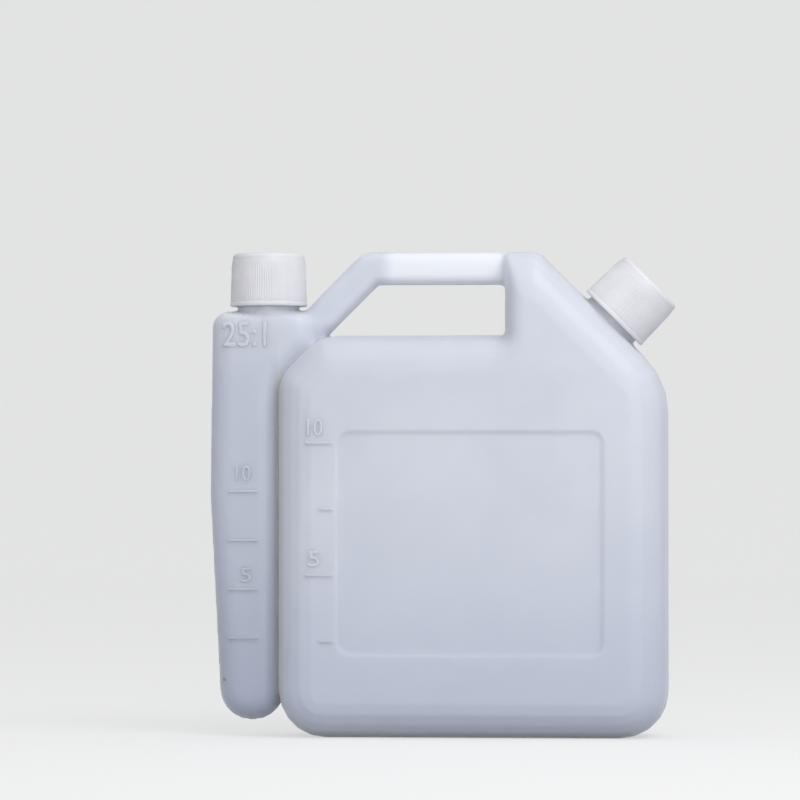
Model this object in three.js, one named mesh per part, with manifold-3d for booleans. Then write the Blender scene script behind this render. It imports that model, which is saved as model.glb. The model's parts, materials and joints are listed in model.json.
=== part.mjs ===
// Fuel mixing bottle: a blow-moulded body with a main chamber, a slim measuring chamber beside it and a
// hollow handle that joins their tops, and two ribbed screw caps with sealing liners.
// Millimetres, +Z up, the front face towards -Y, the measuring chamber towards -X.
// The two halves of the mould meet on the plane y = 0.
import * as THREE from "three";
import { mergeVertices } from "three/addons/utils/BufferGeometryUtils.js";
import Module from "manifold-3d";

const wasm = await Module();
wasm.setup();

// Wall and mould
const wall = 1.2;
const pinchOverlap = 0.6; // how far the two chambers are pressed into each other where they are welded
const seamHeight = 0.4; // the parting line stands this far proud of the body
const seamWidth = 0.9;

// Main chamber
const mainWidth = 167;
const mainDepth = 55;
const mainTop = 172.8; // the flat top below the handle
const mainEdgeRadius = 15; // front and back edges
const baseCornerRadius = 20;
const innerChamferDrop = 19; // the top corner beside the measuring chamber is cut off at 45 degrees
const chamferRadius = 15;
const shoulderRadius = 34;
const faceCornerRadius = 3; // least radius of a corner on the front and back faces
const edgeShare = 0.49; // the most of an edge that the arc at one of its ends may take

// Crown: the part of the main chamber that rises beside the finger opening
const shoulderDrop = 55.4; // from its top to where the slanted shoulder meets the right side
const crownTopWidth = 14.1; // from the wall beside the finger opening to the slanted shoulder
const crownCornerRadius = 8.6;
const crownTopRounding = 20;
const crownSideRounding = 8;
const sharpCornerRadius = 1.5;

// Handle
const fingerRoom = 22.9; // height of the finger opening, between the main chamber and the handle's bar
const handleBar = 13.3;
const handleStrut = 13.7;
const handleDepth = 20;
const handleEdgeRadius = 6;
const handleBendRadius = 9.5;
const holeBendRadius = 3.5;
const handleEndLength = 8; // how far its ends reach into the two chambers
const buriedCornerRadius = 0.3; // corners that end inside a chamber

// Measuring chamber
const measureWidth = 30.6;
const measureRise = 10.6; // its top above the main chamber's flat top
const measureBottom = 7.5;
const measureTopDepth = 29;
const measureBottomDepth = 20;
const measureEdgeRadius = 9;
const measureShoulderRounding = 2.7;
const measureBottomRadius = 13;
const measureLeftRadius = 6.5;
const measureRightRadius = 10;
const measureTopReach = 15.9; // how far its top reaches over the main chamber's corner
const measureWaistHeight = 105; // widest here
const measureTopTaper = 1;
const measureBottomTaper = 5;

// Panel, scale bars and base channel
const panelSideMargin = 26.3; // from each side of the main chamber
const panelTopDrop = 41; // from the flat top of the main chamber
const panelBottom = 35.9;
const panelCornerRadius = 5.6;
const panelRecess = 0.7;
const panelSlope = 1.2;
const barHeight = 0.45;
const barWidth = 1.3;
const barCrestWidth = 0.65;
const mainLitre = 126.6; // the height of the main scale's top bar, one litre
const mainBarStep = 28.3;
const longBarLength = 11.6;
const shortBarLength = 5.6;
const mainBarCount = 4;
const barToPanel = 2;
const measureFullHeight = 105.8; // the height of the measuring scale's top bar
const measureBarStep = 21.1;
const measureBarLength = 12.9;
const measureBarCount = 4;
const channelWidth = 5;
const channelDepth = 0.8;

// Neck and thread, the same on both chambers
const neckHeight = 22.3;
const neckBoreRadius = 10.9;
const neckCollarRadius = 13.45;
const neckCollarHeight = 4.5;
const neckSink = 6; // how far the neck reaches below the shoulder
const neckRimRounding = 0.6;
const threadRootRadius = 12.6;
const threadDepth = 1.1;
const threadPitch = 4.23;
const neckThreadTurns = 2;
const threadBaseWidth = 2.4;
const threadCrestWidth = 0.9;
const threadTopGap = 2.2; // from the rim to the middle of the thread's end
const measureNeckOffset = 24.7; // its axis, from the measuring chamber's left side
const mainNeckAlong = 35.4; // its axis, from the shoulder's lower corner

// Caps and liners
const capLift = 2.6; // from the shoulder to the cap's lip
const capTopThickness = 1.5;
const capBoreClearance = 0.3; // between the neck's thread and the cap's bore
const capWall = 1.55;
const capDraft = 0.5; // the skirt grows by this much towards the lip
const capTopRadius = 2;
const capLipHeight = 1.9;
const capLipProud = 0.5;
const capRibStart = 4.3; // plain band below the cap's top
const capRibStep = 0.2;
const capRibHeight = 0.35;
const capRibCount = 72;
const capThreadTurns = 1.5;
const capThreadDepth = 1.05;
const capThreadCrestWidth = 0.7;
const capThreadBaseWidth = 2;
const threadFlankGap = 0.3;
const seatGap = 0.3; // a liner is this far from the cap's top and from the neck's rim
const linerThickness = 1.2;
const linerClearance = 0.4; // between a liner's edge and the cap's bore

// Fineness of the curved surfaces
const arcStep = THREE.MathUtils.degToRad(18);
const edgeSteps = 5;
const roundSegments = 40;
const threadFadeSteps = 5;
const capRoundSteps = 4;
const weldDistance = 1e-4; // points closer than this are one
const sliverSize = 0.005; // facets narrower than this are taken up by their neighbours
const sink = 0.4; // how far a raised detail is rooted in the wall that carries it
const cutPast = 1; // how far a cutting solid reaches past what it cuts

// Places that follow from the sizes
const mainLeft = -mainWidth / 2;
const mainRight = mainWidth / 2;
const barUnderside = mainTop + fingerRoom;
const overallHeight = barUnderside + handleBar;
const shoulderStart = overallHeight - shoulderDrop;
const crownRight = mainRight - shoulderDrop;
const crownLeft = crownRight - crownTopWidth;
const panelWidth = mainWidth - 2 * panelSideMargin;
const panelTop = mainTop - panelTopDrop;
const measureLeft = mainLeft - measureWidth;
const measureRight = mainLeft + pinchOverlap;
const measureTop = mainTop + measureRise;
const chamferStart = mainTop - innerChamferDrop;
const strutInnerLine = chamferStart - mainLeft; // z - x along the strut's inner side
const strutOuterLine = strutInnerLine + handleStrut * Math.SQRT2;
const capBoreRadius = threadRootRadius + threadDepth + capBoreClearance;
const capHeight = neckHeight + 2 * seatGap + linerThickness + capTopThickness - capLift;
const capTopRadiusOutside = capBoreRadius + capWall;

const vector = (x, y, z) => new THREE.Vector3(x, y, z);

// Turns a closed geometry into a solid
function solid(geometry) {
  const bare = geometry.index ? geometry.clone() : mergeVertices(geometry);
  bare.deleteAttribute("normal");
  bare.deleteAttribute("uv");
  const merged = mergeVertices(bare, weldDistance);
  return new wasm.Manifold(
    new wasm.Mesh({
      numProp: 3,
      vertProperties: merged.attributes.position.array,
      triVerts: new Uint32Array(merged.index.array),
    }),
  );
}

// Turns a solid back into a geometry
function geometryOf(body) {
  const mesh = body.simplify(sliverSize).getMesh();
  const geometry = new THREE.BufferGeometry();
  geometry.setAttribute("position", new THREE.BufferAttribute(mesh.vertProperties, mesh.numProp));
  geometry.setIndex(new THREE.BufferAttribute(mesh.triVerts, 1));
  geometry.computeVertexNormals();
  return geometry;
}

const joined = (solids) => solids.reduce((whole, piece) => whole.add(piece));

// A corner of an outline in the front view. The edge that leaves it towards the next corner, anticlockwise,
// is rounded by the whole edge radius, or by the share that is given
const corner = (x, z, radius, share = 1) => ({ x, z, radius, share });

// The points of an outline with rounded corners, every edge moved inwards by a skin and its share of a
// rounding. Either may be negative
function outline(corners, skin, rounding = 0) {
  const lines = corners.map((start, i) => {
    const end = corners[(i + 1) % corners.length];
    const along = new THREE.Vector2(end.x - start.x, end.z - start.z).normalize();
    const inwards = new THREE.Vector2(-along.y, along.x);
    const shift = skin + rounding * start.share;
    const origin = new THREE.Vector2(start.x, start.z).addScaledVector(inwards, shift);
    return { along, inwards, origin };
  });
  const before = (i) => (i + corners.length - 1) % corners.length;
  const turns = lines.map(({ along }, i) => {
    const coming = lines[before(i)].along;
    return Math.atan2(coming.cross(along), coming.dot(along));
  });
  const tips = lines.map(({ along, origin }, i) => {
    const coming = lines[before(i)];
    const reach = origin.clone().sub(coming.origin).cross(along) / Math.sin(turns[i]);
    return coming.origin.clone().addScaledVector(coming.along, reach);
  });
  const edge = (i) => tips[i].distanceTo(tips[(i + 1) % tips.length]);
  return tips.flatMap((tip, i) => {
    const given = corners[i].radius;
    const less = (skin + rounding) * Math.sign(turns[i]);
    const radius = Math.max(given - less, Math.min(given, faceCornerRadius));
    const room = Math.min(edge(before(i)), edge(i)) * edgeShare;
    return arc(tip, lines[before(i)], turns[i], Math.min(radius, room / Math.tan(Math.abs(turns[i]) / 2)));
  });
}

// The arc that rounds one tip of an outline, where the turn is an angle to the left
function arc(tip, coming, turn, radius) {
  const start = tip.clone().addScaledVector(coming.along, -radius * Math.tan(Math.abs(turn) / 2));
  const centre = start.clone().addScaledVector(coming.inwards, radius * Math.sign(turn));
  const steps = Math.max(1, Math.round(Math.abs(turn) / arcStep));
  return Array.from({ length: steps + 1 }, (_, k) =>
    start.clone().rotateAround(centre, (turn * k) / steps),
  );
}

// A solid lofted through rings with equal numbers of points, from the front one to the back one
function loft(rings) {
  const size = rings[0].length;
  const position = rings.flat().flatMap((point) => point.toArray());
  const flat = rings.map((ring) => ring.map((point) => new THREE.Vector2(point.x, point.z)));
  const last = (rings.length - 1) * size;
  const index = THREE.ShapeUtils.triangulateShape(flat[0], []).flat();
  for (const [a, b, c] of THREE.ShapeUtils.triangulateShape(flat.at(-1), [])) {
    index.push(last + a, last + c, last + b);
  }
  for (let r = 0; r + 1 < rings.length; r++) {
    for (let i = 0; i < size; i++) {
      const here = r * size + i;
      const next = r * size + ((i + 1) % size);
      index.push(here, here + size, next + size, here, next + size, next);
    }
  }
  const geometry = new THREE.BufferGeometry();
  geometry.setAttribute("position", new THREE.Float32BufferAttribute(position, 3));
  geometry.setIndex(index);
  return geometry;
}

// A hollow part's outer form, or its inside when a wall is taken off: the outline at mid-depth, with the
// front and back edges rounded. The half depth may change with height
function pillow(corners, halfDepth, edgeRadius, skin = 0) {
  const radius = edgeRadius - skin;
  const rings = [];
  for (const side of [-1, 1]) {
    for (let k = 0; k <= edgeSteps; k++) {
      const angle = ((side < 0 ? edgeSteps - k : k) / edgeSteps) * (Math.PI / 2);
      rings.push(outline(corners, skin, radius * (1 - Math.cos(angle))).map((p) => {
        const half = halfDepth(p.y) - skin;
        return vector(p.x, side * (half - radius + radius * Math.sin(angle)), p.y);
      }));
    }
  }
  return solid(loft(rings));
}

// Corners of each hollow part, anticlockwise from the lower left
function mainCorners() {
  const chamferTop = mainLeft + innerChamferDrop;
  const weld = pinchOverlap * Math.SQRT2;
  return [
    corner(mainLeft, 0, baseCornerRadius),
    corner(mainRight, 0, baseCornerRadius),
    corner(mainRight, shoulderStart, shoulderRadius),
    corner(crownRight, overallHeight, crownCornerRadius, crownTopRounding / mainEdgeRadius),
    corner(crownLeft, overallHeight, sharpCornerRadius, crownSideRounding / mainEdgeRadius),
    corner(crownLeft, mainTop, sharpCornerRadius),
    corner(chamferTop - weld, mainTop, chamferRadius),
    corner(mainLeft, chamferStart + weld, chamferRadius),
  ];
}

function measureCorners() {
  const topRight = mainLeft + measureTopReach;
  return [
    corner(measureLeft + measureBottomTaper, measureBottom, measureBottomRadius),
    corner(measureRight, measureBottom, measureBottomRadius),
    corner(measureRight, strutInnerLine + measureRight, chamferRadius),
    corner(topRight, strutInnerLine + topRight, sharpCornerRadius),
    corner(topRight, measureTop, measureRightRadius, measureShoulderRounding / measureEdgeRadius),
    corner(measureLeft + measureTopTaper, measureTop, measureLeftRadius),
    corner(measureLeft, measureWaistHeight, measureLeftRadius),
  ];
}

function handleCorners() {
  const right = crownLeft + handleEndLength;
  const foot = mainLeft - handleEndLength;
  const across = handleStrut / Math.SQRT2;
  return [
    corner(foot, foot + strutOuterLine, buriedCornerRadius),
    corner(foot + across, foot + across + strutInnerLine, buriedCornerRadius),
    corner(barUnderside - strutInnerLine, barUnderside, holeBendRadius),
    corner(right, barUnderside, buriedCornerRadius),
    corner(right, overallHeight, buriedCornerRadius),
    corner(overallHeight - strutOuterLine, overallHeight, handleBendRadius),
  ];
}

function measureHalfDepth(height) {
  const share = (height - measureBottom) / (measureTop - measureBottom);
  return THREE.MathUtils.lerp(measureBottomDepth, measureTopDepth, share) / 2;
}

// The three hollow parts as one form, with a skin taken off all round
function blownForm(skin) {
  return joined([
    pillow(mainCorners(), () => mainDepth / 2, mainEdgeRadius, skin),
    pillow(measureCorners(), measureHalfDepth, measureEdgeRadius, skin),
    pillow(handleCorners(), () => handleDepth / 2, handleEdgeRadius, skin),
  ]);
}

// The thin ridge that the parting line leaves round each hollow part
function partingSeam() {
  const seams = [mainCorners(), measureCorners(), handleCorners()].map((corners) => {
    const rings = [-1, 1].map((side) =>
      outline(corners, -seamHeight).map((p) => vector(p.x, (side * seamWidth) / 2, p.y)),
    );
    return solid(loft(rings));
  });
  return joined(seams);
}

// A solid turned about the z axis from a profile of radius and height
function turned(profile, segments = roundSegments) {
  const points = profile.map(([radius, height]) => new THREE.Vector2(radius, height));
  return solid(new THREE.LatheGeometry(points, segments).rotateX(Math.PI / 2));
}

// A thread ridge about the z axis: its root lies in the wall, and it fades in and out over a part of a turn.
// Rising is positive outwards on a neck and inwards in a cap
function threadRidge(rootRadius, rise, baseWidth, crestWidth, startHeight, turns) {
  const steps = Math.round(turns * roundSegments);
  const rings = [];
  for (let k = 0; k <= steps; k++) {
    const angle = (k / roundSegments) * 2 * Math.PI;
    const height = startHeight + (k / roundSegments) * threadPitch;
    const growth = Math.min(1, k / threadFadeSteps, (steps - k) / threadFadeSteps);
    const inner = rootRadius - Math.sign(rise) * sink;
    const crest = rootRadius + rise * growth - Math.sign(rise) * (1 - growth) * (sink / 2);
    const at = (radius, up) => vector(radius * Math.cos(angle), radius * Math.sin(angle), height + up);
    const section = [
      at(inner, -baseWidth / 2),
      at(crest, -crestWidth / 2),
      at(crest, crestWidth / 2),
      at(inner, baseWidth / 2),
    ];
    rings.push(rise > 0 ? section : section.reverse());
  }
  return solid(sweep(rings));
}

// A closed sweep of four-sided sections
function sweep(rings) {
  const size = rings[0].length;
  const position = rings.flat().flatMap((point) => point.toArray());
  const last = (rings.length - 1) * size;
  const index = [0, 1, 2, 0, 2, 3, last, last + 2, last + 1, last, last + 3, last + 2];
  for (let r = 0; r + 1 < rings.length; r++) {
    for (let i = 0; i < size; i++) {
      const here = r * size + i;
      const next = r * size + ((i + 1) % size);
      index.push(here, here + size, next + size, here, next + size, next);
    }
  }
  const geometry = new THREE.BufferGeometry();
  geometry.setAttribute("position", new THREE.Float32BufferAttribute(position, 3));
  geometry.setIndex(index);
  return geometry;
}

// Where a neck stands: the point where its axis meets the shoulder, and its tilt towards +X
const measureNeck = { x: measureLeft + measureNeckOffset, z: measureTop, tilt: 0 };
const mainNeck = {
  x: mainRight - mainNeckAlong * Math.SQRT1_2,
  z: shoulderStart + mainNeckAlong * Math.SQRT1_2,
  tilt: Math.PI / 4,
};

// Moves a solid made about the z axis onto a neck's axis
function onNeck(body, neck) {
  const matrix = new THREE.Matrix4().makeRotationY(neck.tilt).setPosition(neck.x, 0, neck.z);
  return body.transform(matrix.elements);
}

const threadTop = neckHeight - threadTopGap;
const neckThreadStart = threadTop - neckThreadTurns * threadPitch;

function neckForm() {
  const column = turned([
    [0, -neckSink],
    [neckCollarRadius, -neckSink],
    [neckCollarRadius, neckCollarHeight],
    [threadRootRadius, neckCollarHeight + neckCollarRadius - threadRootRadius],
    [threadRootRadius, neckHeight - neckRimRounding],
    [threadRootRadius - neckRimRounding, neckHeight],
    [0, neckHeight],
  ]);
  const ridge = threadRidge(
    threadRootRadius, threadDepth, threadBaseWidth, threadCrestWidth, neckThreadStart, neckThreadTurns,
  );
  return column.add(ridge);
}

function neckBore() {
  return turned([
    [0, -neckSink],
    [neckBoreRadius, -neckSink],
    [neckBoreRadius, neckHeight + cutPast],
    [0, neckHeight + cutPast],
  ]);
}

// The block that sinks a panel into the front or back face: its edges slope
function panelBlock(side, skin) {
  const face = mainDepth / 2 - skin;
  const corners = [
    corner(-panelWidth / 2, panelBottom, panelCornerRadius),
    corner(panelWidth / 2, panelBottom, panelCornerRadius),
    corner(panelWidth / 2, panelTop, panelCornerRadius),
    corner(-panelWidth / 2, panelTop, panelCornerRadius),
  ];
  const ring = (inset, depth) => outline(corners, inset).map((p) => vector(p.x, side * depth, p.y));
  const shallow = ring(-panelSlope * (sink / panelRecess), face + sink);
  const deep = ring(panelSlope, face - panelRecess);
  return solid(loft(side > 0 ? [deep, shallow] : [shallow, deep]));
}

// A raised scale bar on a front face, from its left end
function scaleBar(left, height, length, faceAt) {
  const section = new THREE.Shape();
  section.moveTo(-barWidth / 2, -sink);
  section.lineTo(barWidth / 2, -sink);
  section.lineTo(barCrestWidth / 2, barHeight);
  section.lineTo(-barCrestWidth / 2, barHeight);
  section.closePath();
  const bar = new THREE.ExtrudeGeometry(section, { depth: length, bevelEnabled: false });
  const matrix = new THREE.Matrix4().makeBasis(vector(0, 0, 1), vector(0, -1, 0), vector(1, 0, 0));
  bar.applyMatrix4(matrix.setPosition(left, -faceAt, height));
  return solid(bar);
}

function mainScale() {
  const right = -panelWidth / 2 - barToPanel;
  return Array.from({ length: mainBarCount }, (_, k) => {
    const length = k % 2 === 0 ? longBarLength : shortBarLength;
    return scaleBar(right - length, mainLitre - k * mainBarStep, length, mainDepth / 2);
  });
}

function measureScale() {
  const left = measureLeft + measureEdgeRadius - sink;
  return Array.from({ length: measureBarCount }, (_, k) => {
    const height = measureFullHeight - k * measureBarStep;
    return scaleBar(left, height, measureBarLength, measureHalfDepth(height));
  });
}

// The channel along the base in which the mould pinches the body shut
function baseChannel(skin) {
  return solid(new THREE.BoxGeometry(mainWidth, channelWidth + 2 * skin, 2 * (channelDepth + skin)));
}

// The weld that the pinch leaves in the channel
function pinchWeld() {
  const length = mainWidth - 2 * baseCornerRadius;
  const height = channelDepth / 2 + sink;
  const weld = new THREE.BoxGeometry(length, seamWidth, height);
  return solid(weld.translate(0, 0, channelDepth / 2 + height / 2));
}

function bottleBody() {
  const necks = [measureNeck, mainNeck];
  const form = neckForm();
  const bore = neckBore();
  let outside = joined([blownForm(0), partingSeam(), ...necks.map((neck) => onNeck(form, neck))]);
  let inside = blownForm(wall);
  for (const side of [-1, 1]) {
    outside = outside.subtract(panelBlock(side, 0));
    inside = inside.subtract(panelBlock(side, wall));
  }
  outside = joined([outside, ...mainScale(), ...measureScale()]);
  outside = outside.subtract(baseChannel(0)).add(pinchWeld());
  inside = inside.subtract(baseChannel(wall));
  inside = joined([inside, ...necks.map((neck) => onNeck(bore, neck))]);
  return outside.subtract(inside);
}

// The ribbed band of a cap's skirt, wider towards the lip
function ribBand(bottom, top) {
  const ring = (grow, height) =>
    Array.from({ length: 2 * capRibCount }, (_, k) => {
      const angle = (k / capRibCount) * Math.PI;
      const radius = capTopRadiusOutside + capRibStep + grow + (k % 2) * capRibHeight;
      return vector(radius * Math.cos(angle), height, radius * Math.sin(angle));
    });
  return solid(loft([ring(capDraft, bottom), ring(0, top)]).rotateX(Math.PI / 2));
}

// A cap about the z axis, with z = 0 where the neck's axis meets the shoulder
function capSolid() {
  const top = capLift + capHeight;
  const lipRadius = capTopRadiusOutside + capDraft + capRibStep + capLipProud;
  const profile = [
    [0, capLift],
    [lipRadius, capLift],
    [lipRadius, capLift + capLipHeight],
    [capTopRadiusOutside + capDraft, capLift + capLipHeight],
    [capTopRadiusOutside, top - capRibStart],
  ];
  for (let k = 0; k <= capRoundSteps; k++) {
    const angle = (k / capRoundSteps) * (Math.PI / 2);
    profile.push([
      capTopRadiusOutside - capTopRadius * (1 - Math.cos(angle)),
      top - capTopRadius * (1 - Math.sin(angle)),
    ]);
  }
  profile.push([0, top]);
  const bore = turned([
    [0, capLift - cutPast],
    [capBoreRadius, capLift - cutPast],
    [capBoreRadius, top - capTopThickness],
    [0, top - capTopThickness],
  ]);
  const band = ribBand(capLift + capLipHeight / 2, top - capRibStart);
  const halfWidths = (threadBaseWidth + threadCrestWidth + capThreadBaseWidth + capThreadCrestWidth) / 4;
  const ridge = threadRidge(
    capBoreRadius, -capThreadDepth, capThreadBaseWidth, capThreadCrestWidth,
    neckThreadStart - halfWidths - threadFlankGap, capThreadTurns,
  );
  return turned(profile).add(band).subtract(bore).add(ridge);
}

function linerSolid() {
  const bottom = neckHeight + seatGap;
  const radius = capBoreRadius - linerClearance;
  return turned([
    [0, bottom],
    [radius, bottom],
    [radius, bottom + linerThickness],
    [0, bottom + linerThickness],
  ]);
}

// Materials
const bottlePlastic = { color: 0xc9cfdd, roughness: 0.42, metalness: 0 };
const capPlastic = { color: 0xe3e3e6, roughness: 0.5, metalness: 0 };
const linerFoam = { color: 0xf0efea, roughness: 0.85, metalness: 0 };

function named(name, body, look) {
  const mesh = new THREE.Mesh(geometryOf(body), new THREE.MeshStandardMaterial(look));
  mesh.name = name;
  return mesh;
}

// A piece made about the z axis, placed on a neck
function placed(mesh, neck) {
  mesh.position.set(neck.x, 0, neck.z);
  mesh.rotation.y = neck.tilt;
  return mesh;
}

const bottle = new THREE.Group();
bottle.add(named("bottle_body", bottleBody(), bottlePlastic));
for (const [name, neck] of [["main_cap", mainNeck], ["measuring_cap", measureNeck]]) {
  bottle.add(placed(named(name, capSolid(), capPlastic), neck));
  bottle.add(placed(named(name + "_liner", linerSolid(), linerFoam), neck));
}

// The origin is on the standing surface, below the middle of the whole bottle
const box = new THREE.Box3().setFromObject(bottle);
bottle.position.x = -(box.min.x + box.max.x) / 2;

export default bottle;
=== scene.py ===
# %% [markdown]
# # A fuel mixing bottle
# The CAD model gives this bottle its true sizes and its moving caps. This lesson gives it its looks:
# the soft skin of a blow-moulded bottle, raised numbers, finely ribbed caps, and plastic that lets a
# little light in. Everything is in metres, and +Z is up.

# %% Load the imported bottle
import math

import bmesh
import bpy
import numpy as np
from mathutils import Matrix, Vector
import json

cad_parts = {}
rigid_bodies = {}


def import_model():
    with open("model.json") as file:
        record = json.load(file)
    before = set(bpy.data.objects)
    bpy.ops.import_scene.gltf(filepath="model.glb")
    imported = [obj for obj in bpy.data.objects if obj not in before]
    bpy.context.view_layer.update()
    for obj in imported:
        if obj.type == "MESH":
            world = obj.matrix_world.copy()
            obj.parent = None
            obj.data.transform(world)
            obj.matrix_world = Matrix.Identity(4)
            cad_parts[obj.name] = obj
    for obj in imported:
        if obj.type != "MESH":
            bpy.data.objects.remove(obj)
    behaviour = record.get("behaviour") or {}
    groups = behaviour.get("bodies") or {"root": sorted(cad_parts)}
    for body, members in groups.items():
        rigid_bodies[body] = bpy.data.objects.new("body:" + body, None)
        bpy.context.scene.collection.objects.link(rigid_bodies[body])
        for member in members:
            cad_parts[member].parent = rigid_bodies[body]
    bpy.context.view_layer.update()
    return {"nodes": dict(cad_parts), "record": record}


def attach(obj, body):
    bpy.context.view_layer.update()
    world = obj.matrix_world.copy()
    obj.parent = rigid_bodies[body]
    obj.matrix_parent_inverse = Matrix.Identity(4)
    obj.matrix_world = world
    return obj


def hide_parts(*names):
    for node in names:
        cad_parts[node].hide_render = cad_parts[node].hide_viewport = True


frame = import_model()
mm = 0.001

# %% [markdown]
# ## Where the two necks stand
# Both screw caps turn about an axis that the record states, so the necks' places are read from the
# joints and not typed again. A neck's own frame has its z axis along the screw, from the shoulder out.

# %% Read the necks from the record
joints = {joint["name"]: joint for joint in frame["record"]["behaviour"]["joints"]}


def neck_frame(cap):
    """The matrix that puts a piece made about the z axis onto a neck."""
    joint = joints[cap + "_turn"]
    out = Vector(joint["axis"]).normalized()
    across = Vector((0, 1, 0))
    side = across.cross(out)
    turn = Matrix((side, across, out)).transposed().to_4x4()
    return Matrix.Translation(Vector(joint["pos_m"])) @ turn


necks = {cap: neck_frame(cap) for cap in ("main_cap", "measuring_cap")}
for cap, place in necks.items():
    print(cap, "stands at", [round(v / mm, 1) for v in place.translation], "mm")

# %% [markdown]
# ## The bottle's skin
# A blow-moulded bottle has no sharp edge anywhere: a soft tube of plastic was blown against the mould,
# and every corner stayed a little round. The CAD body has the right forms, but its edges are crisp and
# its arcs are made of short flats. A voxel remesh turns a copy of it into an even skin that can be
# smoothed like wax. The inside of the chambers isn't seen through milky plastic, so the copy keeps only
# the outside and the two bores, which saves half of the faces.

# %% Copy the CAD body and weld its corners
body_node = frame["nodes"]["bottle_body"]
skin_mesh = body_node.data.copy()
skin_mesh.transform(body_node.matrix_world)
skin = bpy.data.objects.new("bottle_skin", skin_mesh)
bpy.context.scene.collection.objects.link(skin)

work = bmesh.new()
work.from_mesh(skin_mesh)
bmesh.ops.remove_doubles(work, verts=work.verts, dist=0.001 * mm)
work.faces.ensure_lookup_table()
print("faces in the CAD body:", len(work.faces))

# %% [markdown]
# A face of a bore lies close to a neck's axis. The rest of the inside is found as paint would find it:
# it is poured in at one inner face and runs over every neighbour until a bore stops it.

# %% Take the inner wall away
bore_reach = 11.0 * mm
bore_foot = -6.1 * mm
to_neck = [place.inverted() for place in necks.values()]


def on_a_bore(face):
    """True if every corner of the face lies within a neck's bore."""
    for place in to_neck:
        local = [place @ vert.co for vert in face.verts]
        if all(math.hypot(p.x, p.y) < bore_reach and p.z > bore_foot for p in local):
            return True
    return False


half_depth = max(vert.co.y for vert in work.verts)
inner_face = min(
    (f for f in work.faces if f.normal.y > 0.9 and f.calc_center_median().y < 0),
    key=lambda f: (f.calc_center_median() - Vector((0.02, -half_depth, 0.08))).length,
)
inner = {inner_face}
spreading = [inner_face]
while spreading:
    face = spreading.pop()
    for edge in face.edges:
        for other in edge.link_faces:
            if other not in inner and not on_a_bore(other):
                inner.add(other)
                spreading.append(other)
bmesh.ops.delete(work, geom=list(inner), context="FACES")
open_edges = [edge for edge in work.edges if edge.is_boundary]
bmesh.ops.holes_fill(work, edges=open_edges, sides=0)
print("inner faces taken away:", len(inner), "and open edges closed:", len(open_edges))
work.to_mesh(skin_mesh)
work.free()

# %% [markdown]
# The voxels are half as wide as the narrowest raised line, so that the bars and the parting line stay.
# The faces that carry the panel and the scales are smoothed less than the rest, and so are the necks
# with their threads: a group of points with a weight each tells the Smooth modifier how far it may go.

# %% Remesh the skin
voxel = 0.66 * mm


def bake_modifiers(piece):
    """Replaces the piece's mesh by what its modifiers make of it."""
    graph = bpy.context.evaluated_depsgraph_get()
    made = bpy.data.meshes.new_from_object(piece.evaluated_get(graph))
    piece.modifiers.clear()
    piece.data = made
    return made


def point_table(mesh, what):
    """The places or the normals of a mesh's points, as rows of three numbers."""
    flat = np.empty(len(mesh.vertices) * 3)
    mesh.vertices.foreach_get(what, flat)
    return flat.reshape(-1, 3)


remesh = skin.modifiers.new("even skin", "REMESH")
remesh.mode = "VOXEL"
remesh.voxel_size = voxel
bake_modifiers(skin)
print("skin faces after the remesh:", len(skin.data.polygons))

# %% [markdown]
# The photo shows tighter edges on the handle than the CAD's, whose rounding takes 6 mm. A rounding is
# a curve of depth over inset, so the handle's points only have to move in depth to follow a smaller one.

# %% Tighten the handle's edges
handle_depth = 10.0 * mm
cad_round = 6.0 * mm
tight_round = 3.5 * mm


def ramp(values, start, end):
    """0 at the start, 1 at the end, and straight in between."""
    return np.clip((values - start) / (end - start), 0, 1)


points = point_table(skin.data, "co")
depth = np.abs(points[:, 1])
flat_before, flat_after = handle_depth - cad_round, handle_depth - tight_round
beyond = np.clip(depth - flat_before, 0, cad_round)
inset = cad_round - np.sqrt(cad_round ** 2 - beyond ** 2)
left = np.clip(tight_round - inset, 0, tight_round)
tighter = flat_after + np.sqrt(tight_round ** 2 - left ** 2)
tighter = np.where(depth < flat_before, depth * flat_after / flat_before, tighter)
share = ramp(points[:, 0], -60 * mm, -52 * mm) * ramp(points[:, 0], 28 * mm, 23 * mm)
share *= ramp(points[:, 2], 174.5 * mm, 178 * mm) * (depth < handle_depth + 0.3 * mm)
points[:, 1] += np.sign(points[:, 1]) * (tighter - depth) * share
skin.data.vertices.foreach_set("co", points.ravel())
skin.data.update()
print("points moved on the handle:", int((share > 0).sum()))

# %% Smooth the corners like wax
panel_depth = 26.4 * mm
face_top, face_left = 150 * mm, -62 * mm
neck_reach, neck_foot = 14.0 * mm, 0.5 * mm
root_reach = 13.0 * mm
root_depth_share = 0.3
root_levels = 8
rounds_all_over, rounds_on_corners, rounds_on_roots = 2, 14, 50


def neck_places():
    """For each neck: how far the skin's points are from its axis, and how high up it they are."""
    for place in to_neck:
        matrix = np.array(place)
        local = points @ matrix[:3, :3].T + matrix[:3, 3]
        yield np.hypot(local[:, 0], local[:, 1]), local[:, 2]


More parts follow.
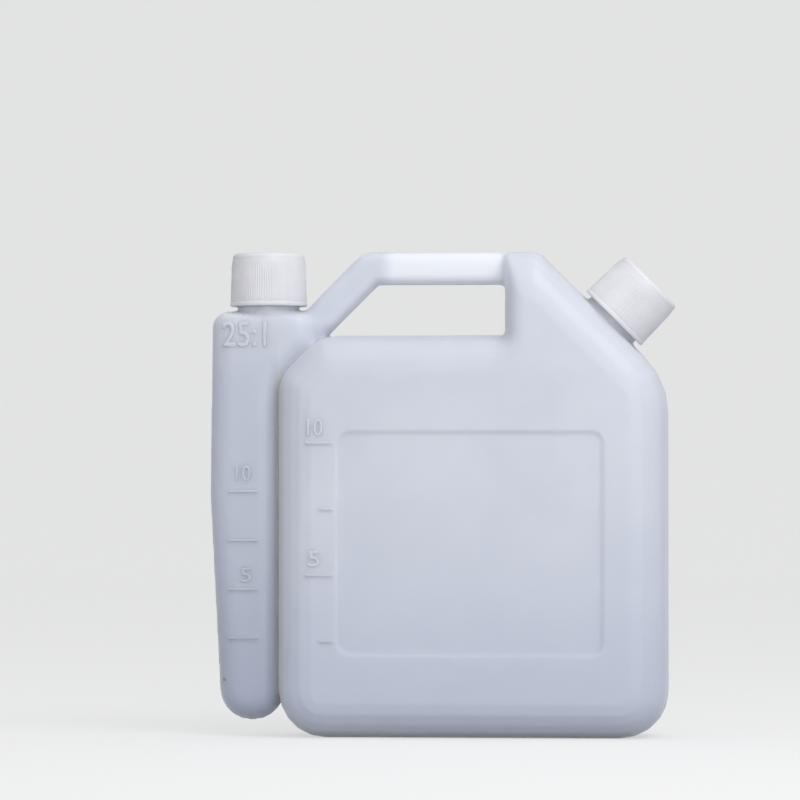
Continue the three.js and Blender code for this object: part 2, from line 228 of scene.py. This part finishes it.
points = point_table(skin.data, "co")
crisp = (
    (np.abs(points[:, 1]) > panel_depth)
    & (points[:, 2] < face_top)
    & (points[:, 0] > face_left)
)
for from_axis, height in neck_places():
    crisp |= (from_axis < neck_reach) & (height > neck_foot)
soft_group = skin.vertex_groups.new(name="soft")
soft_group.add(np.nonzero(~crisp)[0].tolist(), 1.0, "REPLACE")
root_group = skin.vertex_groups.new(name="handle roots")
for middle in ((30, 0, 201), (-62, 0, 178)):
    offset = (points - np.array(middle) * mm) * (1, root_depth_share, 1)
    share = np.clip(1.6 * (1 - np.linalg.norm(offset, axis=1) / root_reach), 0, 1)
    for step in range(1, root_levels + 1):
        level = step / root_levels
        inside = (share > (step - 1) / root_levels) & (share <= level) & ~crisp
        root_group.add(np.nonzero(inside)[0].tolist(), level, "REPLACE")
for name, group, rounds in (
    ("all over", "", rounds_all_over),
    ("corners", "soft", rounds_on_corners),
    ("roots", "handle roots", rounds_on_roots),
):
    wax = skin.modifiers.new(name, "SMOOTH")
    wax.factor = 0.5
    wax.iterations = rounds
    wax.vertex_group = group
bake_modifiers(skin)
print("points kept crisp:", int(crisp.sum()), "of", len(points))

# %% [markdown]
# ## The raised numbers and bars
# The mould has the two scales cut into it, so numbers and bars stand out of the skin by about half a
# millimetre. Text curves with a small bevel have the soft edge of blown plastic. They are one separate
# piece, rooted in the skin, because lines this thin would need far smaller voxels to survive a remesh.

# %% Set the numbers on the front faces
number_height = 0.38 * mm
number_root = 0.5 * mm


def raised_text(words, left, bottom, width, height, face_y, lean=0.0):
    """Text that stands out of a front face, fitted to a width and a height. The face may lean."""
    curve = bpy.data.curves.new("number", "FONT")
    curve.body = words
    curve.extrude = 0.06
    curve.offset = -0.02
    curve.bevel_depth = 0.03
    curve.bevel_resolution = 2
    flat = bpy.data.objects.new("number", curve)
    mesh = bpy.data.meshes.new_from_object(flat)
    points = np.array([v.co for v in mesh.vertices])
    low, high = points.min(axis=0), points.max(axis=0)
    span = high - low
    thick = number_height + number_root
    fit = Matrix.Diagonal((width / span[0], height / span[1], thick / span[2], 1))
    upright = Matrix.Rotation(math.pi / 2, 4, "X")
    leaning = Matrix.Identity(4)
    leaning[1][2] = -lean
    at = Matrix.Translation((left, face_y + number_root, bottom))
    mesh.transform(at @ leaning @ upright @ fit @ Matrix.Translation([-v for v in low]))
    bpy.data.objects.remove(flat)
    return mesh


main_face = -27.5 * mm
measure_lean = 0.0256  # the measuring chamber grows deeper towards its top


def measure_face(height):
    """Where the measuring chamber's front face is at a height."""
    return -(9.81 * mm + measure_lean * height)


numbers = [
    raised_text("10", -57.0 * mm, 129.6 * mm, 6.6 * mm, 7.2 * mm, main_face),
    raised_text("5", -56.6 * mm, 73.6 * mm, 5.0 * mm, 6.8 * mm, main_face),
]
for words, left, bottom, width, height in [
    ("25:1", -94.8, 168.2, 19.0, 11.0),
    ("10", -89.4, 110.3, 6.5, 6.6),
    ("5", -87.4, 66.6, 4.8, 6.2),
]:
    numbers.append(raised_text(
        words, left * mm, bottom * mm, width * mm, height * mm,
        measure_face(bottom * mm), measure_lean,
    ))
print("numbers set:", len(numbers))


# %% Round the bars of both scales
bar_half_width = 0.62 * mm
bar_half_height = 0.42 * mm


def raised_bar(left, height, length, face_y, lean=0.0):
    """A bar with a rounded section and rounded ends, half sunk in a front face."""
    made = bmesh.new()
    bmesh.ops.create_uvsphere(made, u_segments=16, v_segments=10, radius=0.5)
    stretch = length - 2 * bar_half_width
    for vert in made.verts:
        side = 1 if vert.co.x > 0 else -1
        x = vert.co.x * 2 * bar_half_width + side * stretch / 2
        y = vert.co.y * 2 * bar_half_height
        z = vert.co.z * 2 * bar_half_width
        vert.co = (left + length / 2 + x, face_y + y - lean * z, height + z)
    mesh = bpy.data.meshes.new("bar")
    made.to_mesh(mesh)
    made.free()
    return mesh


bars_per_scale = 4
main_bars_end = -46.1 * mm
main_top_bar, main_bar_step = 126.6 * mm, 28.3 * mm
long_bar, short_bar = 11.6 * mm, 5.6 * mm
measure_bars_start = -92.6 * mm
measure_top_bar, measure_bar_step = 105.8 * mm, 21.1 * mm
measure_bar = 12.9 * mm
for k in range(bars_per_scale):
    length = long_bar if k % 2 == 0 else short_bar
    height = main_top_bar - k * main_bar_step
    numbers.append(raised_bar(main_bars_end - length, height, length, main_face))
for k in range(bars_per_scale):
    height = measure_top_bar - k * measure_bar_step
    numbers.append(raised_bar(
        measure_bars_start, height, measure_bar, measure_face(height), measure_lean,
    ))

scale_work = bmesh.new()
for mesh in numbers:
    scale_work.from_mesh(mesh)
    bpy.data.meshes.remove(mesh)
scale_mesh = bpy.data.meshes.new("scale_marks")
scale_work.to_mesh(scale_mesh)
scale_work.free()
scale_mesh.polygons.foreach_set("use_smooth", [True] * len(scale_mesh.polygons))
scale_marks = bpy.data.objects.new("scale_marks", scale_mesh)
bpy.context.scene.collection.objects.link(scale_marks)
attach(scale_marks, "bottle")
print("faces in numbers and bars:", len(scale_mesh.polygons))

# %% [markdown]
# ## The parting line
# Where the two halves of the mould close, they leave a fine ridge all round the bottle. The smoothing
# has nearly melted it, so the skin's points beside the middle plane are pushed out a little again.

# %% Raise the parting line again
ridge_height = 0.3 * mm
ridge_reach = 0.95 * mm
points = point_table(skin.data, "co")
normals = point_table(skin.data, "normal")
outside_bores = np.ones(len(points), dtype=bool)
for from_axis, height in neck_places():
    outside_bores &= ~((from_axis < 13.8 * mm) & (height > -1.0 * mm))
rise = np.clip(1 - (points[:, 1] / ridge_reach) ** 2, 0, 1) ** 2 * ridge_height
rise *= outside_bores * (np.abs(normals[:, 1]) < 0.8)
points += normals * rise[:, None]
skin.data.vertices.foreach_set("co", points.ravel())
skin.data.update()
print("points raised:", int((rise > 0).sum()))

# %% Thin the skin out where it is flat
face_budget = 190000
thin = skin.modifiers.new("thin out", "DECIMATE")
thin.ratio = face_budget / (2 * len(skin.data.polygons))
bake_modifiers(skin)
skin.data.polygons.foreach_set("use_smooth", [True] * len(skin.data.polygons))
print("skin faces kept:", len(skin.data.polygons))

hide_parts("bottle_body")
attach(skin, "bottle")

# %% [markdown]
# ## The ribbed caps
# A cap is moulded in one shot: a skirt with about a hundred fine ribs to grip, a plain lip below them,
# a rounded top, and a thread inside. All of it can be read as one radius that changes with the angle
# and the height, so the cap is a grid of rings, from the middle of its inside over the lip to the
# middle of its top. Ribs and thread are only small changes of a ring's radius.

# %% The cap's sizes
cap_bottom = 2.6 * mm
cap_top = 25.6 * mm
cap_ceiling = 24.1 * mm
bore_radius = 14.0 * mm
skirt_radius = 15.75 * mm
skirt_draft = 0.5 * mm
lip_radius = 16.75 * mm
lip_height = 1.9 * mm
rib_count = 100
rib_height = 0.26 * mm
rib_top = 21.6 * mm
round_radius = 1.9 * mm
thread_start = 9.84 * mm
thread_pitch = 4.23 * mm
thread_turns = 1.5
thread_rise = 1.0 * mm
columns = 4 * rib_count
angles = np.arange(columns) / columns * 2 * math.pi

# %% [markdown]
# The thread is a ridge that climbs by one pitch in each turn. At any angle and height, the nearest turn
# of the thread is found, and the ridge's height there follows from how far away it is.


# %% How far the thread stands in
def thread_inwards(height):
    """The thread's height above the bore for every angle of one ring."""
    inwards = np.zeros(columns)
    crest, foot, fade = 0.35 * mm, 1.0 * mm, 0.12
    for turn in range(math.ceil(thread_turns)):
        along = angles / (2 * math.pi) + turn
        middle = thread_start + thread_pitch * along
        ramp = np.clip((foot - np.abs(height - middle)) / (foot - crest), 0, 1)
        ends = np.clip(np.minimum(along, thread_turns - along) / fade, 0, 1)
        inwards = np.maximum(inwards, thread_rise * ramp * ends)
    return inwards


# %% The rings of a cap, from the inside to the top
smooth_ribs = 0.5 + 0.5 * np.cos(angles * rib_count)
rings = []


def ring(radius, height, ribs=0.0):
    """One ring, of one radius or of a radius for each column, with a share of the ribs' height."""
    radii = np.full(columns, 1.0) * radius
    rings.append((radii + ribs * rib_height * smooth_ribs, height))


for radius in (4.0, 9.0, 13.4):
    ring(radius * mm, cap_ceiling)
for height in np.arange(cap_ceiling - 0.5 * mm, thread_start - 1.6 * mm, -0.36 * mm):
    ring(bore_radius - thread_inwards(height), height)
for height in (6.0, 3.2):
    ring(bore_radius, height * mm)
lip_profile = (
    (2.4, 2.7), (1.9, 2.6), (0.7, 2.6), (0.2, 2.75), (0, 3.1),
    (0, 4.0), (0.06, 4.3), (0.2, 4.45), (0.5, 4.5),
)
for inset, height in lip_profile:
    ring(lip_radius - inset * mm, height * mm)

skirt_steps = 8
rib_bottom = cap_bottom + lip_height + 0.35 * mm
for step in range(skirt_steps + 1):
    share = step / skirt_steps
    height = rib_bottom + share * (rib_top - rib_bottom)
    ribs = 1.0 if step < skirt_steps else 0.6
    ring(skirt_radius + skirt_draft * (1 - share), height, ribs)
ring(skirt_radius, rib_top + 0.5 * mm, ribs=0.1)
ring(skirt_radius - 0.1 * mm, rib_top + 0.9 * mm)

round_steps = 8
for step in range(round_steps + 1):
    angle = step / round_steps * math.pi / 2
    ring(
        skirt_radius - 0.15 * mm - round_radius * (1 - math.cos(angle)),
        cap_top - round_radius * (1 - math.sin(angle)),
    )
top_profile = (
    (11.0, 25.58), (10.8, 25.5), (10.5, 25.5), (10.3, 25.58),
    (3.2, 25.56), (2.9, 25.35), (0.9, 25.3),
)
for radius, height in top_profile:
    ring(radius * mm, height * mm)
print("rings in a cap:", len(rings))


# %% Turn the rings into the two caps
def cap_piece(cap):
    """One ribbed cap on its neck, riding on its body in place of the CAD cap."""
    across = [
        np.stack([radius * np.cos(angles), radius * np.sin(angles), np.full(columns, height)], axis=1)
        for radius, height in rings
    ]
    corners = np.concatenate(across)
    faces = []
    for k in range(len(rings) - 1):
        for i in range(columns):
            j = (i + 1) % columns
            low, high = k * columns, (k + 1) * columns
            faces.append((low + i, low + j, high + j, high + i))
    faces.append(tuple(range(columns - 1, -1, -1)))
    faces.append(tuple((len(rings) - 1) * columns + i for i in range(columns)))
    mesh = bpy.data.meshes.new(cap + "_ribbed")
    mesh.from_pydata(corners, [], faces)
    mesh.polygons.foreach_set("use_smooth", [True] * len(mesh.polygons))
    mesh.set_sharp_from_angle(angle=math.radians(55))
    piece = bpy.data.objects.new(cap + "_ribbed", mesh)
    bpy.context.scene.collection.objects.link(piece)
    piece.matrix_world = necks[cap]
    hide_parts(cap)
    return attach(piece, cap)


caps = [cap_piece(cap) for cap in necks]
print("faces in a cap:", len(caps[0].data.polygons))

# %% [markdown]
# ## Plastic that looks moulded
# Two effects are shared by the bottle and the caps, so each is a node group that every material feeds
# with its own values. The first is the fine, slightly wavy surface that the mould's blasted steel
# leaves. It puts out a height for a Bump node, in millimetres, and a roughness that changes with it.


# %% A helper that makes node groups
def new_group(name, takes, gives):
    """An empty shader group with named inputs and outputs. Returns it with its two end nodes."""
    group = bpy.data.node_groups.new(name, "ShaderNodeTree")
    for label, kind, value in takes:
        socket = group.interface.new_socket(label, in_out="INPUT", socket_type=kind)
        if value is not None:
            socket.default_value = value
    for label, kind in gives:
        group.interface.new_socket(label, in_out="OUTPUT", socket_type=kind)
    return group, group.nodes.new("NodeGroupInput"), group.nodes.new("NodeGroupOutput")


def add(tree, kind, settings=None, **values):
    """A node with its settings and the values of its sockets, whose names have _ for a space."""
    node = tree.nodes.new(kind)
    for key, value in (settings or {}).items():
        setattr(node, key, value)
    for key, value in values.items():
        node.inputs[key.replace("_", " ")].default_value = value
    return node


def calculate(tree, operation, first, second):
    """A Math node on two numbers or sockets."""
    node = add(tree, "ShaderNodeMath", {"operation": operation})
    for socket, value in zip(node.inputs, (first, second)):
        if isinstance(value, bpy.types.NodeSocket):
            tree.links.new(value, socket)
        else:
            socket.default_value = value
    return node.outputs["Value"]


# %% Group: the moulded surface
COLOUR, NUMBER, PLACE = "NodeSocketColor", "NodeSocketFloat", "NodeSocketVector"
moulded, taken, given = new_group(
    "moulded_surface",
    [("Place", PLACE, None), ("Grain per metre", NUMBER, 1500.0), ("Grain mm", NUMBER, 0.01),
     ("Wave per metre", NUMBER, 90.0), ("Wave mm", NUMBER, 0.1), ("Roughness", NUMBER, 0.4)],
    [("Height mm", NUMBER), ("Roughness", NUMBER)],
)
grain = add(moulded, "ShaderNodeTexNoise", Detail=2.0, Roughness=0.6)
wave = add(moulded, "ShaderNodeTexNoise", Detail=1.0)
moulded.links.new(taken.outputs["Place"], grain.inputs["Vector"])
moulded.links.new(taken.outputs["Place"], wave.inputs["Vector"])
moulded.links.new(taken.outputs["Grain per metre"], grain.inputs["Scale"])
moulded.links.new(taken.outputs["Wave per metre"], wave.inputs["Scale"])
fine = calculate(moulded, "MULTIPLY", grain.outputs["Fac"], taken.outputs["Grain mm"])
broad = calculate(moulded, "MULTIPLY", wave.outputs["Fac"], taken.outputs["Wave mm"])
moulded.links.new(calculate(moulded, "ADD", fine, broad), given.inputs["Height mm"])
spread = calculate(moulded, "MULTIPLY", calculate(moulded, "SUBTRACT", grain.outputs["Fac"], 0.5), 0.25)
varied = calculate(moulded, "ADD", taken.outputs["Roughness"], spread)
moulded.links.new(varied, given.inputs["Roughness"])
print("group", moulded.name, "has", len(moulded.nodes), "nodes")

# %% [markdown]
# The second effect is the cloudiness of natural plastic: the wall is a little thicker here and thinner
# there, and the blown tube leaves faint upright streaks. It moves between two tones of one colour.

# %% Group: the cloudy wall
cloudy, taken, given = new_group(
    "cloudy_wall",
    [("Place", PLACE, None), ("Colour", COLOUR, (0.8, 0.8, 0.8, 1)),
     ("Cloud colour", COLOUR, (0.7, 0.7, 0.7, 1)), ("Clouds per metre", NUMBER, 25.0),
     ("Clouds", NUMBER, 0.6), ("Streaks", NUMBER, 0.2)],
    [("Colour", COLOUR)],
)
clouds = add(cloudy, "ShaderNodeTexNoise", Detail=3.0, Roughness=0.45)
cloudy.links.new(taken.outputs["Place"], clouds.inputs["Vector"])
cloudy.links.new(taken.outputs["Clouds per metre"], clouds.inputs["Scale"])
stretch = add(cloudy, "ShaderNodeMapping", Scale=(1.0, 1.0, 0.05))
cloudy.links.new(taken.outputs["Place"], stretch.inputs["Vector"])
streaks = add(cloudy, "ShaderNodeTexNoise", Scale=260.0, Detail=2.0)
cloudy.links.new(stretch.outputs["Vector"], streaks.inputs["Vector"])
soft = add(cloudy, "ShaderNodeMapRange", {"interpolation_type": "SMOOTHSTEP"},
           From_Min=0.35, From_Max=0.65)
cloudy.links.new(clouds.outputs["Fac"], soft.inputs["Value"])
cloud_share = calculate(cloudy, "MULTIPLY", soft.outputs["Result"], taken.outputs["Clouds"])
streak_share = calculate(cloudy, "MULTIPLY", streaks.outputs["Fac"], taken.outputs["Streaks"])
both = calculate(cloudy, "MINIMUM", calculate(cloudy, "ADD", cloud_share, streak_share), 1.0)
tone = add(cloudy, "ShaderNodeMix", {"data_type": "RGBA"})
cloudy.links.new(both, tone.inputs["Factor"])
cloudy.links.new(taken.outputs["Colour"], tone.inputs[6])
cloudy.links.new(taken.outputs["Cloud colour"], tone.inputs[7])
cloudy.links.new(tone.outputs[2], given.inputs["Colour"])
print("group", cloudy.name, "has", len(cloudy.nodes), "nodes")

# %% [markdown]
# ## Natural polyethylene for the bottle
# Unfilled polyethylene is milky: light goes in, scatters, and comes out a few millimetres away, which
# softens every shadow on it. That is what Subsurface does. Where the mould pinched the tube shut, the
# welded seam lies in the crease between the two chambers; a mask made from the place on the bottle tints
# it warmer and darker there, partly for the thicker seam and partly as painted shade in the crease.
# Painted shade also darkens the bottle towards the bottom and along its bottom edge, and the measuring
# chamber all over; a painted light makes the handle's bar paler; and one small dark fleck that the photo
# shows on the measuring chamber is a real mark made in the same way.


# %% Start a material
def srgb(red, green, blue):
    """A colour as the screen shows it, 0 to 255, turned into the linear values that nodes take."""
    def linear(value):
        value /= 255
        return value / 12.92 if value <= 0.04045 else ((value + 0.055) / 1.055) ** 2.4
    return (linear(red), linear(green), linear(blue), 1.0)


def place_group(tree, group, place, **values):
    """Places a shared group, feeds it the place on the piece and sets its own values."""
    node = tree.nodes.new("ShaderNodeGroup")
    node.node_tree = group
    tree.links.new(place, node.inputs["Place"])
    for key, value in values.items():
        node.inputs[key.replace("_", " ")].default_value = value
    return node


def start_material(name):
    """A new material, its Principled shader and the place on the piece, in metres."""
    material = bpy.data.materials.new(name)
    material.use_nodes = True
    tree = material.node_tree
    place = tree.nodes.new("ShaderNodeTexCoord").outputs["Object"]
    return material, tree, tree.nodes["Principled BSDF"], place


def band(tree, value, middle, half_width, fade):
    """1 where a value is within a band, falling to 0 beyond its edge."""
    away = calculate(tree, "ABSOLUTE", calculate(tree, "SUBTRACT", value, middle), 0)
    mask = add(tree, "ShaderNodeMapRange", {"interpolation_type": "SMOOTHSTEP"})
    mask.inputs["From Min"].default_value = half_width + fade
    mask.inputs["From Max"].default_value = half_width
    tree.links.new(away, mask.inputs["Value"])
    return mask.outputs["Result"]


def tint(tree, colour, mask, strength, other):
    """Mixes a second colour in where a mask says so."""
    mix = add(tree, "ShaderNodeMix", {"data_type": "RGBA"})
    tree.links.new(calculate(tree, "MULTIPLY", mask, strength), mix.inputs["Factor"])
    tree.links.new(colour, mix.inputs[6])
    mix.inputs[7].default_value = other
    return mix.outputs[2]


# %% [markdown]
# The same plastic is made twice. In the deep skin the light travels several millimetres. In the thin
# numbers and bars it would leak out of their backs and leave them grey, so there it travels less far.


# %% The bottle's plastic
def milky_plastic(name, travel):
    """The bottle's plastic. Light spreads in it over a distance of about travel."""
    material, tree, shader, place = start_material(name)
    surface = place_group(
        tree, moulded, place, Grain_per_metre=1700.0, Grain_mm=0.012,
        Wave_per_metre=70.0, Wave_mm=0.22, Roughness=0.4,
    )
    wall = place_group(
        tree, cloudy, place, Colour=srgb(218, 221, 230), Cloud_colour=srgb(211, 215, 225),
        Clouds_per_metre=22.0, Clouds=0.7, Streaks=0.25,
    )
    parts = add(tree, "ShaderNodeSeparateXYZ")
    tree.links.new(place, parts.inputs["Vector"])
    # Welded seam and crease: the seam is real and thicker, and the darker tone in the crease between the
    # chambers is painted shade.
    weld_and_crease_shade = calculate(tree, "MULTIPLY",
                     band(tree, parts.outputs["X"], -70.6 * mm, 1.2 * mm, 3.0 * mm),
                     band(tree, parts.outputs["Z"], 80 * mm, 72 * mm, 10 * mm))
    # Painted shade: darker towards the bottom, full below 5 mm and gone above 115 mm.
    low = band(tree, parts.outputs["Z"], -40 * mm, 45 * mm, 110 * mm)
    # Painted shade: the measuring chamber a darker tone of the same plastic, more so on its lower part.
    painted_chamber_shade = calculate(tree, "MULTIPLY",
                     band(tree, parts.outputs["X"], -110 * mm, 38 * mm, 1.5 * mm),
                     band(tree, parts.outputs["Z"], 70 * mm, 80 * mm, 30 * mm))
    # Painted shade at the bottom edge, fading out 18 mm up.
    painted_base_shade = band(tree, parts.outputs["Z"], 0.0, 2.0 * mm, 16 * mm)
    fleck = calculate(tree, "MULTIPLY",
                      band(tree, parts.outputs["X"], -94.8 * mm, 0.4 * mm, 0.7 * mm),
                      band(tree, parts.outputs["Z"], 24.5 * mm, 0.3 * mm, 0.7 * mm))
    fleck = calculate(tree, "MULTIPLY", fleck,
                      band(tree, parts.outputs["Y"], -30 * mm, 29 * mm, 1.0 * mm))
    # Painted light: the handle's bar paler, standing in for light that passes through its thin wall.
    bar = calculate(tree, "MULTIPLY",
                    band(tree, parts.outputs["X"], 2 * mm, 22 * mm, 8 * mm),
                    band(tree, parts.outputs["Z"], 203 * mm, 7 * mm, 4 * mm))
    # Painted shade towards the bottom, painted light on the bar, painted shade on the measuring chamber
    # and at the bottom edge, the seam with painted shade in its crease, and the fleck as a real mark.
    colour = tint(tree, wall.outputs["Colour"], low, 0.65, srgb(189, 196, 213))
    colour = tint(tree, colour, bar, 0.9, srgb(240, 242, 250))
    colour = tint(tree, colour, painted_chamber_shade, 0.45, srgb(188, 195, 209))
    colour = tint(tree, colour, calculate(tree, "MULTIPLY", painted_chamber_shade, low), 0.35, srgb(158, 166, 188))
    colour = tint(tree, colour, weld_and_crease_shade, 0.6, srgb(202, 200, 200))
    colour = tint(tree, colour, painted_base_shade, 0.2, srgb(190, 190, 196))
    colour = tint(tree, colour, fleck, 0.6, srgb(120, 112, 104))
    tree.links.new(colour, shader.inputs["Base Color"])
    tree.links.new(surface.outputs["Roughness"], shader.inputs["Roughness"])
    bump = add(tree, "ShaderNodeBump", Distance=mm, Strength=1.0)
    tree.links.new(surface.outputs["Height mm"], bump.inputs["Height"])
    tree.links.new(bump.outputs["Normal"], shader.inputs["Normal"])
    shader.inputs["Subsurface Weight"].default_value = 0.85
    shader.inputs["Subsurface Radius"].default_value = (1.0, 1.0, 1.15)
    shader.inputs["Subsurface Scale"].default_value = travel
    shader.inputs["IOR"].default_value = 1.52
    shader.inputs["Sheen Weight"].default_value = 0.35
    shader.inputs["Sheen Roughness"].default_value = 0.35
    return material


for piece, name, travel in (
    (skin, "milky_polyethylene", 6.0 * mm),
    (scale_marks, "milky_polyethylene_thin", 0.3 * mm),
):
    piece.data.materials.clear()
    piece.data.materials.append(milky_plastic(name, travel))
    print(piece.name, "wears", piece.data.materials[0].name)

# %% [markdown]
# ## White polypropylene for the caps
# The caps are coloured white right through, so less light gets in. They are a little warmer than the
# bottle.

# %% The caps' plastic
cap_plastic, tree, shader, place = start_material("white_polypropylene")
surface = place_group(
    tree, moulded, place, Grain_per_metre=2200.0, Grain_mm=0.006,
    Wave_per_metre=150.0, Wave_mm=0.04, Roughness=0.38,
)
wall = place_group(
    tree, cloudy, place, Colour=srgb(232, 231, 235), Cloud_colour=srgb(225, 224, 229),
    Clouds_per_metre=60.0, Clouds=0.6, Streaks=0.15,
)
tree.links.new(wall.outputs["Colour"], shader.inputs["Base Color"])
tree.links.new(surface.outputs["Roughness"], shader.inputs["Roughness"])
bump = add(tree, "ShaderNodeBump", Distance=mm, Strength=1.0)
tree.links.new(surface.outputs["Height mm"], bump.inputs["Height"])
tree.links.new(bump.outputs["Normal"], shader.inputs["Normal"])
shader.inputs["Subsurface Weight"].default_value = 0.4
shader.inputs["Subsurface Radius"].default_value = (1.0, 0.95, 0.9)
shader.inputs["Subsurface Scale"].default_value = 1.0 * mm
shader.inputs["IOR"].default_value = 1.49
for piece in caps:
    piece.data.materials.append(cap_plastic)
print("caps:", cap_plastic.name)

# %% [markdown]
# ## Foam for the liners
# The sealing wads stay as the CAD made them. Foamed polyethylene has tiny closed cells.

# %% The liners' foam
liner_foam, tree, shader, place = start_material("foamed_wad")
cells = add(tree, "ShaderNodeTexVoronoi", Scale=1800.0)
tree.links.new(place, cells.inputs["Vector"])
wall = place_group(
    tree, cloudy, place, Colour=srgb(240, 239, 233), Cloud_colour=srgb(228, 227, 220),
    Clouds_per_metre=300.0, Clouds=0.7, Streaks=0.0,
)
tree.links.new(wall.outputs["Colour"], shader.inputs["Base Color"])
bump = add(tree, "ShaderNodeBump", Distance=0.05 * mm, Strength=0.8)
tree.links.new(cells.outputs["Distance"], bump.inputs["Height"])
tree.links.new(bump.outputs["Normal"], shader.inputs["Normal"])
shader.inputs["Roughness"].default_value = 0.85
for cap in necks:
    liner = frame["nodes"][cap + "_liner"]
    for material_slot in liner.material_slots:
        material_slot.material = liner_foam
print("liners:", liner_foam.name)

# %% [markdown]
# ## A plain studio
# The bottle stands on a pale floor that runs up into a backdrop, under soft light from above. The
# backdrop is far enough away for a camera to go all round the bottle.

# %% Floor and backdrop
floor_width = 4.5
floor_front = -4.5
sweep_start = 1.7
sweep_radius = 2.0
sweep_steps = 48
profile = [(floor_front, 0.0), (sweep_start, 0.0)]
for step in range(1, sweep_steps + 1):
    angle = step / sweep_steps * math.pi / 2
    profile.append((
        sweep_start + sweep_radius * math.sin(angle),
        sweep_radius * (1 - math.cos(angle)),
    ))
profile.append((sweep_start + sweep_radius, 3.0))
corners = [(x, y, z) for y, z in profile for x in (-floor_width, floor_width)]
quads = [(2 * k, 2 * k + 1, 2 * k + 3, 2 * k + 2) for k in range(len(profile) - 1)]
floor_mesh = bpy.data.meshes.new("studio_floor")
floor_mesh.from_pydata(corners, [], quads)
floor_mesh.polygons.foreach_set("use_smooth", [True] * len(quads))
floor = bpy.data.objects.new("studio_floor", floor_mesh)
bpy.context.scene.collection.objects.link(floor)
print("floor strips:", len(quads))

# %% [markdown]
# The paper shows the camera a paler tone than the one that lights the bottle from below. Light Path
# tells the two kinds of ray apart, so the background can be nearly white without more light.

# %% The studio's paper
paper, tree, shader, place = start_material("studio_paper")
surface = place_group(
    tree, moulded, place, Grain_per_metre=900.0, Grain_mm=0.01,
    Wave_per_metre=3.0, Wave_mm=0.5, Roughness=0.9,
)
tree.links.new(surface.outputs["Roughness"], shader.inputs["Roughness"])
seen = tree.nodes.new("ShaderNodeLightPath")
shown = calculate(tree, "MAXIMUM", seen.outputs["Is Camera Ray"], seen.outputs["Is Glossy Ray"])
shown = calculate(tree, "MAXIMUM", shown, seen.outputs["Is Transmission Ray"])
paper_tone = add(tree, "ShaderNodeMix", {"data_type": "RGBA"})
tree.links.new(shown, paper_tone.inputs["Factor"])
paper_tone.inputs[6].default_value = srgb(182, 184, 187)
paper_tone.inputs[7].default_value = srgb(158, 158, 158)
tree.links.new(paper_tone.outputs[2], shader.inputs["Base Color"])
lit = calculate(tree, "MULTIPLY", shown, 0.58)
shader.inputs["Emission Color"].default_value = srgb(250, 250, 250)
tree.links.new(lit, shader.inputs["Emission Strength"])
floor_mesh.materials.append(paper)
print("floor:", paper.name)

# %% [markdown]
# ## The photo's point of view
# The angle and the frame were fitted to the bottle's outline in the photo, with the camera two metres
# away: it looks from a few degrees to the right, level with the middle of the bottle.

# %% Camera
camera_data = bpy.data.cameras.new("camera")
camera = bpy.data.objects.new("camera", camera_data)
bpy.context.scene.collection.objects.link(camera)
bpy.context.scene.camera = camera
azimuth = math.radians(4.3)
elevation = math.radians(-1.0)
distance = 2.0
frame_width = 0.3467
aim = Vector((-19.1 * mm, 0, 145.4 * mm))
back = Vector((
    math.sin(azimuth) * math.cos(elevation),
    -math.cos(azimuth) * math.cos(elevation),
    math.sin(elevation),
))
camera.location = aim + distance * back
camera.rotation_mode = "QUATERNION"
camera.rotation_quaternion = (-back).to_track_quat("-Z", "Y")
camera_data.lens = camera_data.sensor_width * distance / frame_width
bpy.context.scene.view_settings.view_transform = "Standard"
print("lens in mm:", round(camera_data.lens, 1))

# %% [markdown]
# ## Soft light
# Nothing in the photo casts a hard shadow on the bottle. Here the world gives the even part of the
# light, a large panel in front fills the faces, and a weak one above draws the upper edges.

# %% Lights
world = bpy.data.worlds.new("studio")
bpy.context.scene.world = world
world.use_nodes = True
world.node_tree.nodes["Background"].inputs["Color"].default_value = (0.97, 0.985, 1.0, 1)
world.node_tree.nodes["Background"].inputs["Strength"].default_value = 0.62


def soft_lamp(name, place, width, power, colour):
    """A round panel of light, turned towards the middle of the bottle."""
    lamp = bpy.data.lights.new(name, "AREA")
    lamp.shape = "DISK"
    lamp.size = width
    lamp.energy = power
    lamp.color = colour
    holder = bpy.data.objects.new(name, lamp)
    bpy.context.scene.collection.objects.link(holder)
    holder.location = place
    toward = Vector((0, 0, 0.1)) - Vector(place)
    holder.rotation_mode = "QUATERNION"
    holder.rotation_quaternion = toward.to_track_quat("-Z", "Y")
    return holder


soft_lamp("sky panel", (0.42, -0.55, 0.8), 0.6, 3.0, (0.99, 0.995, 1.0))
soft_lamp("front panel", (0.4, -2.2, 0.35), 1.4, 15.2, (0.99, 0.995, 1.0))

# %% End of the scene
import json
